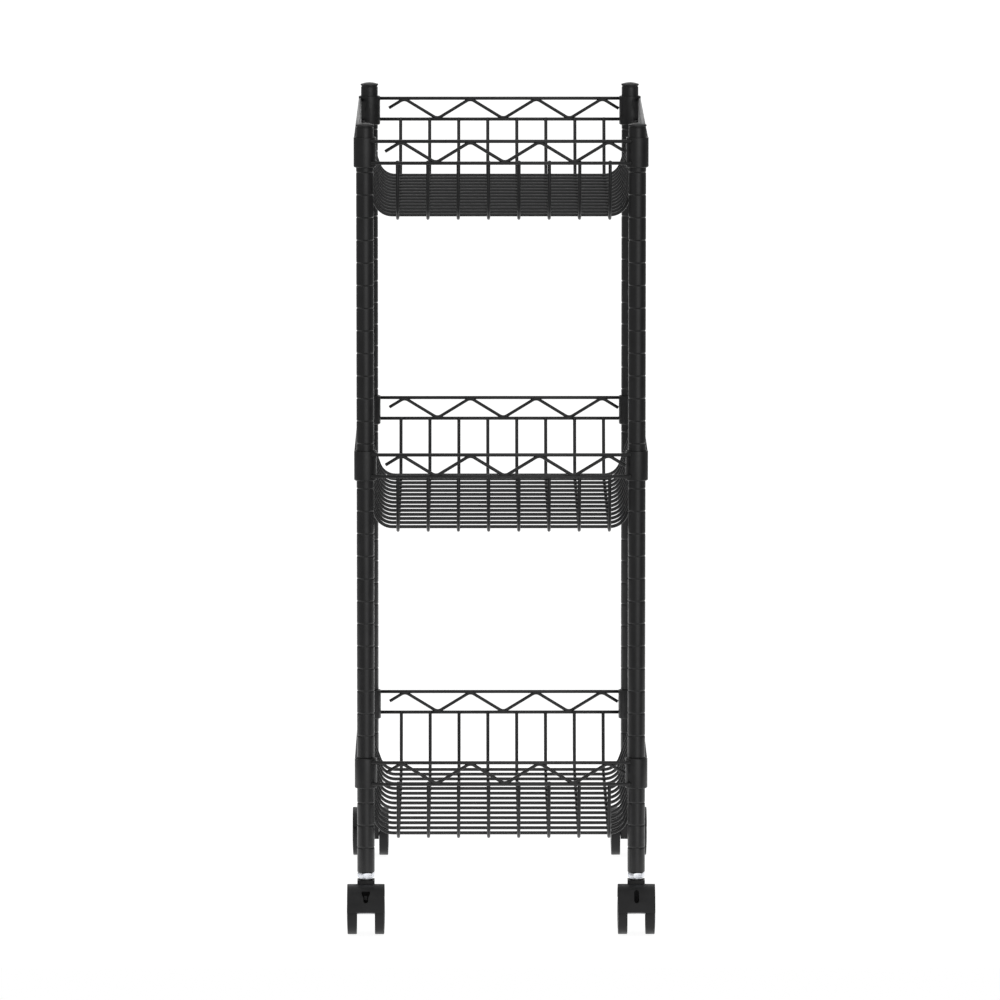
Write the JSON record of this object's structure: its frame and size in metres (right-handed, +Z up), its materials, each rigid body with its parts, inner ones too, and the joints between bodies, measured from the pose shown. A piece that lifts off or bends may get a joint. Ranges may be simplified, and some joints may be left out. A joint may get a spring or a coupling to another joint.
{
  "type": "rolling pantry cart",
  "caption": "Narrow rolling cart: grooved posts carry stacked wire baskets and stand on twin-wheel swivel casters.",
  "frame": {"origin": "on the floor, midway between the four posts", "axes": "+X to the right across the narrow end, +Y to the rear along the long side, +Z up"},
  "size_m": [0.3468, 0.62, 0.9142],
  "materials": {
    "post_coating": "satin black powder coat",
    "wire_coating": "satin black powder coat",
    "collar_coating": "satin black powder coat",
    "cap_plastic": "fine moulded texture",
    "sleeve_plastic": "smooth moulded nylon",
    "caster_nylon": "satin moulded nylon",
    "wheel_nylon": "satin moulded nylon",
    "brake_nylon": "satin moulded nylon",
    "zinc_plate": "bright zinc plate",
    "plain_steel": "drawn steel"
  },
  "bodies": {
    "frame": {"basket_bottom_cross_wires": "wire_coating", "basket_bottom_front_collars": "collar_coating", "basket_bottom_long_wires": "wire_coating", "basket_bottom_lower_rails": "wire_coating", "basket_bottom_rear_collars": "collar_coating", "basket_bottom_top_rails": "wire_coating", "basket_bottom_trusses": "wire_coating", "basket_middle_cross_wires": "wire_coating", "basket_middle_front_collars": "collar_coating", "basket_middle_long_wires": "wire_coating", "basket_middle_lower_rails": "wire_coating", "basket_middle_rear_collars": "collar_coating", "basket_middle_top_rails": "wire_coating", "basket_middle_trusses": "wire_coating", "basket_top_cross_wires": "wire_coating", "basket_top_front_collars": "collar_coating", "basket_top_long_wires": "wire_coating", "basket_top_lower_rails": "wire_coating", "basket_top_rear_collars": "collar_coating", "basket_top_top_rails": "wire_coating", "basket_top_trusses": "wire_coating", "caster_stems": "zinc_plate", "lock_nuts": "zinc_plate", "post_caps": "cap_plastic", "post_front_left": "post_coating", "post_front_right": "post_coating", "post_inserts": "plain_steel", "post_rear_left": "post_coating", "post_rear_right": "post_coating", "retaining_rings": "plain_steel", "sleeves_bottom_front": "sleeve_plastic", "sleeves_bottom_rear": "sleeve_plastic", "sleeves_middle_front": "sleeve_plastic", "sleeves_middle_rear": "sleeve_plastic", "sleeves_top_front": "sleeve_plastic", "sleeves_top_rear": "sleeve_plastic"},
    "caster_front_left": {"brake_pin_front_left": "plain_steel", "caster_axle_front_left": "plain_steel", "caster_housing_front_left": "caster_nylon"},
    "wheel_front_left_outer": {"wheel_front_left_outer": "wheel_nylon"},
    "wheel_front_left_inner": {"wheel_front_left_inner": "wheel_nylon"},
    "brake_lever_front_left": {"brake_lever_front_left": "brake_nylon"},
    "caster_front_right": {"caster_axle_front_right": "plain_steel", "caster_housing_front_right": "caster_nylon"},
    "wheel_front_right_outer": {"wheel_front_right_outer": "wheel_nylon"},
    "wheel_front_right_inner": {"wheel_front_right_inner": "wheel_nylon"},
    "caster_rear_left": {"caster_axle_rear_left": "plain_steel", "caster_housing_rear_left": "caster_nylon"},
    "wheel_rear_left_outer": {"wheel_rear_left_outer": "wheel_nylon"},
    "wheel_rear_left_inner": {"wheel_rear_left_inner": "wheel_nylon"},
    "caster_rear_right": {"brake_pin_rear_right": "plain_steel", "caster_axle_rear_right": "plain_steel", "caster_housing_rear_right": "caster_nylon"},
    "wheel_rear_right_outer": {"wheel_rear_right_outer": "wheel_nylon"},
    "wheel_rear_right_inner": {"wheel_rear_right_inner": "wheel_nylon"},
    "brake_lever_rear_right": {"brake_lever_rear_right": "brake_nylon"}
  },
  "joints": [
    {"name": "swivel_front_left", "type": "hinge", "parent": "frame", "child": "caster_front_left", "pos_m": [-0.152, -0.2667, 0.05], "axis": [0, 0, 1], "continuous": true},
    {"name": "roll_front_left_outer", "type": "hinge", "parent": "caster_front_left", "child": "wheel_front_left_outer", "pos_m": [-0.1674, -0.2787, 0.025], "axis": [1, 0, 0], "continuous": true},
    {"name": "roll_front_left_inner", "type": "hinge", "parent": "caster_front_left", "child": "wheel_front_left_inner", "pos_m": [-0.1366, -0.2787, 0.025], "axis": [1, 0, 0], "continuous": true},
    {"name": "brake_front_left", "type": "hinge", "parent": "caster_front_left", "child": "brake_lever_front_left", "pos_m": [-0.152, -0.29106, 0.03108], "axis": [1, 0, 0], "range_deg": [0, 14]},
    {"name": "swivel_front_right", "type": "hinge", "parent": "frame", "child": "caster_front_right", "pos_m": [0.152, -0.2667, 0.05], "axis": [0, 0, 1], "continuous": true},
    {"name": "roll_front_right_outer", "type": "hinge", "parent": "caster_front_right", "child": "wheel_front_right_outer", "pos_m": [0.1674, -0.2787, 0.025], "axis": [1, 0, 0], "continuous": true},
    {"name": "roll_front_right_inner", "type": "hinge", "parent": "caster_front_right", "child": "wheel_front_right_inner", "pos_m": [0.1366, -0.2787, 0.025], "axis": [1, 0, 0], "continuous": true},
    {"name": "swivel_rear_left", "type": "hinge", "parent": "frame", "child": "caster_rear_left", "pos_m": [-0.152, 0.2667, 0.05], "axis": [0, 0, 1], "continuous": true},
    {"name": "roll_rear_left_outer", "type": "hinge", "parent": "caster_rear_left", "child": "wheel_rear_left_outer", "pos_m": [-0.1674, 0.2787, 0.025], "axis": [1, 0, 0], "continuous": true},
    {"name": "roll_rear_left_inner", "type": "hinge", "parent": "caster_rear_left", "child": "wheel_rear_left_inner", "pos_m": [-0.1366, 0.2787, 0.025], "axis": [1, 0, 0], "continuous": true},
    {"name": "swivel_rear_right", "type": "hinge", "parent": "frame", "child": "caster_rear_right", "pos_m": [0.152, 0.2667, 0.05], "axis": [0, 0, 1], "continuous": true},
    {"name": "roll_rear_right_outer", "type": "hinge", "parent": "caster_rear_right", "child": "wheel_rear_right_outer", "pos_m": [0.1674, 0.2787, 0.025], "axis": [1, 0, 0], "continuous": true},
    {"name": "roll_rear_right_inner", "type": "hinge", "parent": "caster_rear_right", "child": "wheel_rear_right_inner", "pos_m": [0.1366, 0.2787, 0.025], "axis": [1, 0, 0], "continuous": true},
    {"name": "brake_rear_right", "type": "hinge", "parent": "caster_rear_right", "child": "brake_lever_rear_right", "pos_m": [0.152, 0.29106, 0.03108], "axis": [-1, 0, 0], "range_deg": [0, 14]}
  ]
}
